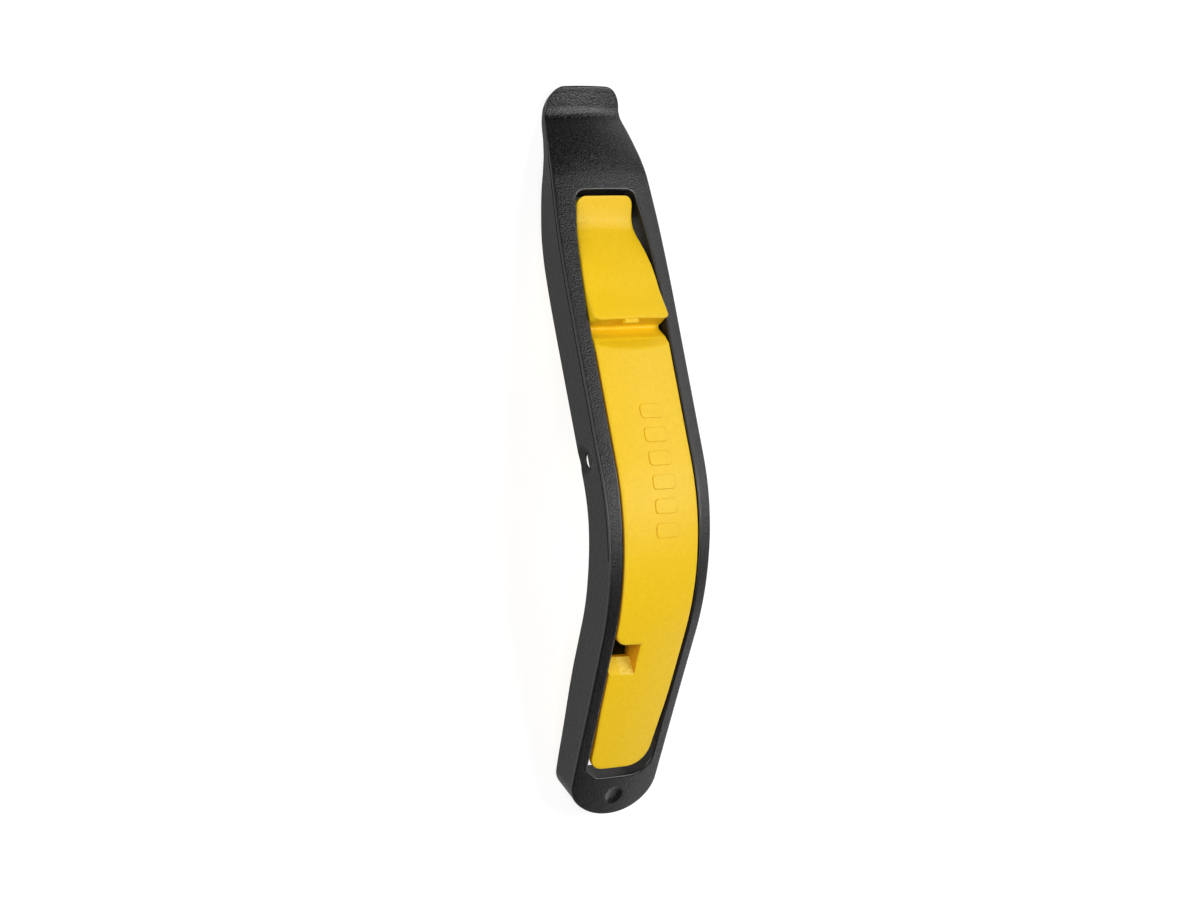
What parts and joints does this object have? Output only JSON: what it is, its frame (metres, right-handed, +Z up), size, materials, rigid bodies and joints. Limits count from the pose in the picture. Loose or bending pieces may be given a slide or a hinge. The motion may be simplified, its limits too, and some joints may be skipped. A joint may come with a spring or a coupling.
{
  "type": "nested tyre lever pair",
  "caption": "Long curved outer tyre lever with a window that holds a shorter hooked inner lever, which lifts out for use.",
  "frame": {"origin": "under the middle of the bounding box, on the surface that the pair stands on", "axes": "+X across the lever, +Y along it towards the outer tip, +Z up out of the window"},
  "size_m": [0.0332, 0.193, 0.0363],
  "materials": {
    "black_nylon": "fine sparked grain on the front, smooth satin on the sides",
    "yellow_nylon": "satin moulded plastic, opaque yellow"
  },
  "bodies": {
    "outer": {"outer_lever": "black_nylon"},
    "inner": {"inner_lever": "yellow_nylon"}
  },
  "joints": [
    {"name": "inner_lever_lift", "type": "slide", "parent": "outer", "child": "inner", "axis": [0, 0, 1], "range_m": [0, 0.04]}
  ]
}
